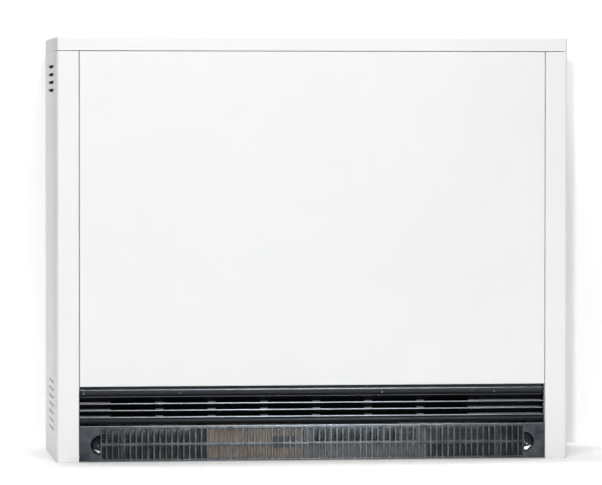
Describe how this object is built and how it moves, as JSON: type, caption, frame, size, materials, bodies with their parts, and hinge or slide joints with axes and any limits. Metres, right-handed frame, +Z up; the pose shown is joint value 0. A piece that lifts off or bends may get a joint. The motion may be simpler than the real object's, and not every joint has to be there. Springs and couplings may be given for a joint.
{
  "type": "storage heater",
  "caption": "Low fan-assisted electric storage heater: white sheet casing, brick core, bladed air outlet, and a dark slotted inlet grille that tilts out with its fluff filter.",
  "frame": {"origin": "on the floor, at the centre of the outline seen from above", "axes": "+X to the right of the front, -Y out of the front, +Z up"},
  "size_m": [0.78, 0.275, 0.642],
  "materials": {
    "white_enamel": "satin",
    "galvanised": "satin",
    "black_sheet": "satin",
    "grey_plastic": "satin",
    "black_plastic": "matt",
    "light_plastic": "matt",
    "red_plastic": "matt",
    "board_green": "satin",
    "phenolic": "satin",
    "coil_tape": "satin",
    "wheel_aluminium": "satin",
    "brass": "satin",
    "element_steel": "dull",
    "ceramic": "matt",
    "insulation": "matt",
    "brick": "matt",
    "rubber": "matt"
  },
  "bodies": {
    "casing": {"base_pan": "galvanised", "rear_wall": "galvanised", "left_side_panel": "white_enamel", "right_side_panel": "white_enamel", "top_cover": "white_enamel", "front_panel": "white_enamel", "inner_front_panel": "galvanised", "wall_spacers": "galvanised", "lid_rails": "galvanised", "panel_clips": "galvanised", "deck_plate": "galvanised", "bay_plate": "galvanised", "outlet_grille": "black_sheet", "outlet_baffle": "black_sheet", "duct_tray": "galvanised", "outlet_duct": "galvanised", "bimetal_strip": "brass", "grille_catches": "galvanised", "fan_housings": "galvanised", "motor_stator": "galvanised", "motor_coil": "coil_tape", "motor_bracket": "galvanised", "shaft_bushes": "brass", "phenolic_board": "phenolic", "air_guide_plate": "galvanised", "front_insulation": "insulation", "rear_insulation": "insulation", "left_insulation": "insulation", "right_insulation": "insulation", "top_insulation": "insulation", "base_insulation": "insulation", "brick_tray": "galvanised", "lower_bricks": "brick", "middle_bricks": "brick", "upper_bricks": "brick", "heating_elements": "element_steel", "element_sleeves": "ceramic", "core_sensor": "galvanised", "control_box": "light_plastic", "knob_bezel": "light_plastic", "circuit_board": "board_green", "terminal_block": "light_plastic", "safety_cutout": "black_plastic", "earth_stud": "brass", "wiring_loom": "black_plastic", "cable_grommet": "rubber", "outlet_screws": "black_sheet", "casing_screws": "galvanised"},
    "inlet_grille": {"inlet_grille": "grey_plastic", "hinge_pins": "galvanised", "filter_frame": "black_plastic", "filter_mesh": "black_plastic"},
    "fan_rotor": {"fan_wheels": "wheel_aluminium", "fan_shaft": "galvanised", "motor_rotor": "galvanised"},
    "mixing_flap": {"mixing_flap": "galvanised", "flap_rod": "galvanised"},
    "charge_knob": {"charge_knob": "grey_plastic", "knob_shaft": "galvanised"},
    "reset_button": {"reset_button": "red_plastic"}
  },
  "joints": [
    {"name": "inlet_grille_tilt", "type": "hinge", "parent": "casing", "child": "inlet_grille", "pos_m": [0, -0.1325, 0.008], "axis": [1, 0, 0], "range_deg": [0, 75]},
    {"name": "fan_spin", "type": "hinge", "parent": "casing", "child": "fan_rotor", "pos_m": [-0.086, 0.0215, 0.054], "axis": [1, 0, 0], "continuous": true},
    {"name": "mixing_flap_swing", "type": "hinge", "parent": "casing", "child": "mixing_flap", "pos_m": [-0.0325, -0.0551, 0.1099], "axis": [-1, 0, 0], "range_deg": [0, 40]},
    {"name": "charge_knob_turn", "type": "hinge", "parent": "casing", "child": "charge_knob", "pos_m": [0.382, 0.06645, 0.525], "axis": [-1, 0, 0], "range_deg": [0, 270]},
    {"name": "cutout_reset_press", "type": "slide", "parent": "casing", "child": "reset_button", "axis": [-1, 0, 0], "range_m": [0, 0.002], "stiffness_N_per_m": 500}
  ]
}
